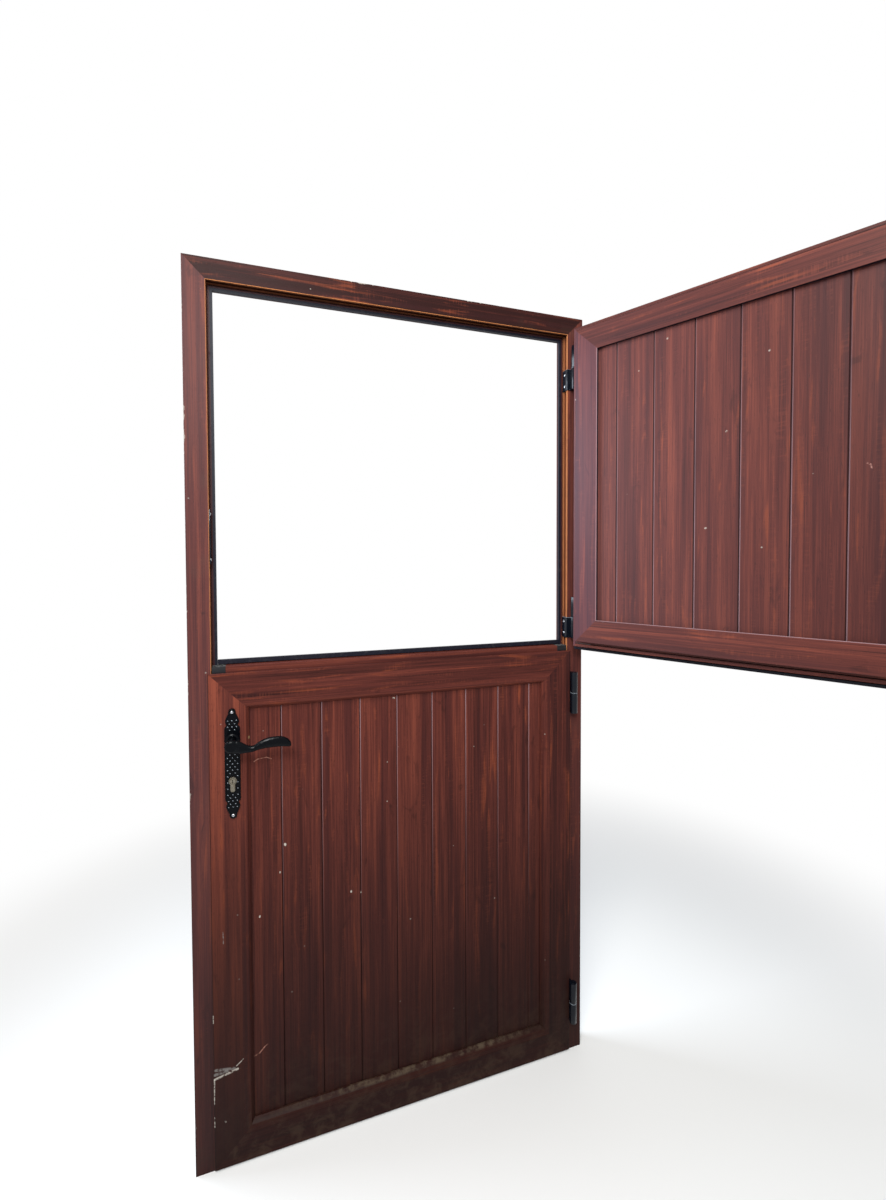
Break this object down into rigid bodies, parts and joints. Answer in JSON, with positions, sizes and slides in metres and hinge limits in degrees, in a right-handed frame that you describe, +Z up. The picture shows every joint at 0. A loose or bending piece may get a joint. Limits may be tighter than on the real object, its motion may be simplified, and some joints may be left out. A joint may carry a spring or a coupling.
{
  "type": "stable door with frame",
  "caption": "Dutch stable door in its frame: dark wood-effect aluminium, vertical slats, lower leaf closed, upper leaf open, lever handle and black hinges.",
  "frame": {"origin": "foot of the hinge jamb, at its back corner on the room side", "axes": "+X towards the hinge side's wall, +Y from the room to the outside, +Z up"},
  "size_m": [1.3944, 0.9561, 2.064],
  "materials": {
    "wood_film": "satin dark wood-effect film on aluminium",
    "bare_aluminium": "mill finish",
    "black_rubber": "matte",
    "black_plastic": "matte",
    "black_metal": "satin black",
    "bright_steel": "zinc plated",
    "wrought_black": "hammered dark iron look",
    "nickel": "worn nickel"
  },
  "bodies": {
    "frame": {"frame_corner_cleats": "bare_aluminium", "frame_gasket": "black_rubber", "frame_head": "wood_film", "frame_jamb_hinge": "wood_film", "frame_jamb_lock": "wood_film", "hinge_frame_halves": "black_metal", "keeper_lower": "black_metal", "keeper_upper": "black_metal"},
    "lower_leaf": {"cylinder_body": "nickel", "handle_plate_outside": "wrought_black", "handle_plate_room": "wrought_black", "lock_case": "black_metal", "lock_faceplate": "bright_steel", "lower_bead_bottom": "wood_film", "lower_bead_hinge": "wood_film", "lower_bead_lock": "wood_film", "lower_bead_top": "wood_film", "lower_corner_cleats": "bare_aluminium", "lower_hinge_halves": "black_metal", "lower_panel_gasket": "black_rubber", "lower_rail_bottom": "wood_film", "lower_rail_top": "wood_film", "lower_slats": "wood_film", "lower_stile_hinge": "wood_film", "lower_stile_lock": "wood_film", "lower_wing_gasket": "black_rubber", "meeting_rail": "wood_film", "meeting_rail_caps": "black_plastic", "meeting_rail_gasket": "black_rubber"},
    "upper_leaf": {"upper_bead_bottom": "wood_film", "upper_bead_hinge": "wood_film", "upper_bead_lock": "wood_film", "upper_bead_top": "wood_film", "upper_corner_cleats": "bare_aluminium", "upper_hinge_halves": "black_metal", "upper_knob_base": "wrought_black", "upper_latch_case": "black_metal", "upper_panel_gasket": "black_rubber", "upper_rail_bottom": "wood_film", "upper_rail_top": "wood_film", "upper_slats": "wood_film", "upper_stile_hinge": "wood_film", "upper_stile_lock": "wood_film", "upper_wing_gasket": "black_rubber"},
    "handle": {"lever_room": "wrought_black", "lever_outside": "wrought_black", "spindle": "bright_steel", "lock_follower": "bright_steel"},
    "latch": {"latch_bolt": "bright_steel"},
    "dead_bolt": {"dead_bolt": "bright_steel"},
    "plug": {"cylinder_plug": "nickel"},
    "upper_bolt": {"upper_bolt": "bright_steel"},
    "upper_knob": {"upper_knob": "wrought_black"}
  },
  "joints": [
    {"name": "lower_leaf_swing", "type": "hinge", "parent": "frame", "child": "lower_leaf", "pos_m": [-0.034, -0.016, 0.5875], "axis": [0, 0, 1], "range_deg": [0, 116.5]},
    {"name": "upper_leaf_swing", "type": "hinge", "parent": "frame", "child": "upper_leaf", "pos_m": [-0.034, -0.016, 1.5795], "axis": [0, 0, 1], "range_deg": [-116.5, 0]},
    {"name": "handle_turn", "type": "hinge", "parent": "lower_leaf", "child": "handle", "pos_m": [-0.9195, 0.011, 0.994], "axis": [0, 1, 0], "range_deg": [0, 35], "stiffness_Nm_per_rad": 2, "springref_deg": -20.05},
    {"name": "latch_slide", "type": "slide", "parent": "lower_leaf", "child": "latch", "axis": [1, 0, 0], "range_m": [0, 0.0145]},
    {"name": "key_turn", "type": "hinge", "parent": "lower_leaf", "child": "plug", "pos_m": [-0.9195, 0.011, 0.902], "axis": [0, 1, 0], "range_deg": [0, 360]},
    {"name": "dead_bolt_slide", "type": "slide", "parent": "lower_leaf", "child": "dead_bolt", "axis": [-1, 0, 0], "range_m": [0, 0.02]},
    {"name": "upper_knob_turn", "type": "hinge", "parent": "upper_leaf", "child": "upper_knob", "pos_m": [0.35103, -0.8241, 1.451], "axis": [-0.8949, -0.4462, 0], "range_deg": [0, 90]},
    {"name": "upper_bolt_slide", "type": "slide", "parent": "upper_leaf", "child": "upper_bolt", "axis": [0.4462, -0.8949, 0], "range_m": [0, 0.014]}
  ],
  "couplings": [
    {"joint": "latch_slide", "follows": "handle_turn", "m_per_rad": 0.023736},
    {"joint": "key_turn", "follows": "dead_bolt_slide", "rad_per_m": 314.15},
    {"joint": "upper_knob_turn", "follows": "upper_bolt_slide", "rad_per_m": 112.19}
  ]
}
